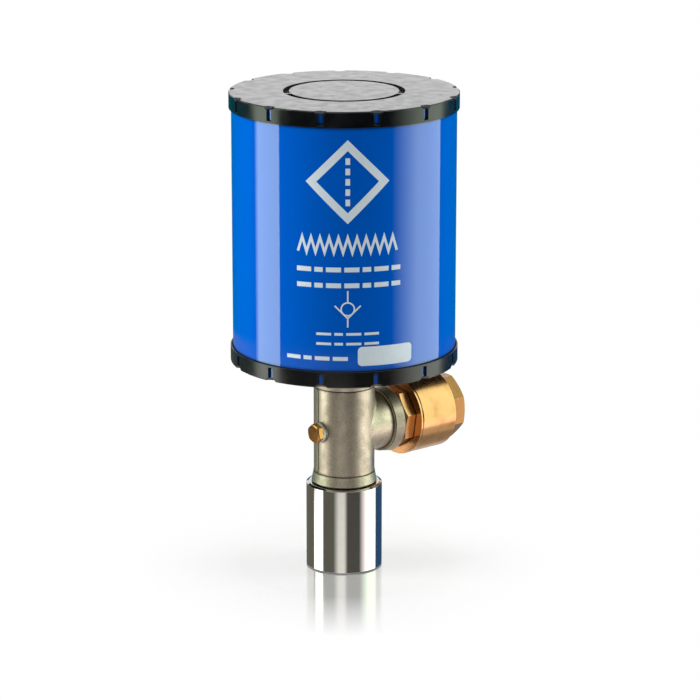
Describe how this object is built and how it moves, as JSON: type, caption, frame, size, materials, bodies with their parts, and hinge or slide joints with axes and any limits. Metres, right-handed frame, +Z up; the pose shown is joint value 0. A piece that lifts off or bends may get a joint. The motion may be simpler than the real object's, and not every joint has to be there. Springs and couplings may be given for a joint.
{
  "type": "tank breather valve",
  "caption": "Bulk tank breather: a spin-on filter canister above a pipe tee, with a spring check valve on the branch and a pipe coupling below.",
  "frame": {"origin": "centre of the coupling's lower face, on the axis of the tank port", "axes": "+Z up along the canister's axis, +X along the exhaust branch, out of the check valve"},
  "size_m": [0.1784, 0.163, 0.35],
  "materials": {
    "polished_stainless": "polished",
    "zinc_steel": "zinc plated",
    "nickel_casting": "cast and nickel plated, satin",
    "brass": "machined, lightly aged",
    "white_ptfe": "matt",
    "white_acetal": "moulded, satin",
    "black_nitrile": "matt",
    "spring_steel": "bright",
    "blue_paint": "gloss enamel",
    "black_urethane": "moulded, satin",
    "filter_paper": "matt"
  },
  "bodies": {
    "base": {"tank_coupling": "polished_stainless", "reducer_bushing": "zinc_steel", "coupling_nipple": "zinc_steel", "tee_body": "nickel_casting", "port_plug": "brass", "plug_seal_ring": "white_ptfe", "branch_nipple": "zinc_steel", "valve_inlet_end": "brass", "valve_body_gasket": "black_nitrile", "valve_body": "brass", "stem_guide": "white_acetal", "valve_spring": "spring_steel", "canister_nipple": "zinc_steel"},
    "poppet": {"valve_poppet": "white_acetal", "poppet_seal": "black_nitrile", "seal_retainer": "spring_steel"},
    "gasket": {"hub_gasket": "black_nitrile"},
    "canister": {"canister_shell": "blue_paint", "top_end_cap": "black_urethane", "bottom_end_cap": "black_urethane", "pleated_media": "filter_paper", "outer_liner": "zinc_steel", "inner_liner": "zinc_steel", "outlet_hub": "zinc_steel", "inlet_screen": "spring_steel"}
  },
  "joints": [
    {"name": "poppet_lift", "type": "slide", "parent": "base", "child": "poppet", "axis": [1, 0, 0], "range_m": [0, 0.006], "stiffness_N_per_m": 250, "springref_m": -0.0072, "deforming": ["valve_spring"]},
    {"name": "canister_rise", "type": "slide", "parent": "base", "child": "gasket", "axis": [0, 0, 1], "range_m": [0, 0.01547]},
    {"name": "canister_unscrew", "type": "hinge", "parent": "gasket", "child": "canister", "pos_m": [0, 0, 0.1454], "axis": [0, 0, 1], "range_deg": [0, 2520]}
  ],
  "couplings": [
    {"joint": "canister_rise", "follows": "canister_unscrew", "m_per_rad": 0.00035152}
  ]
}
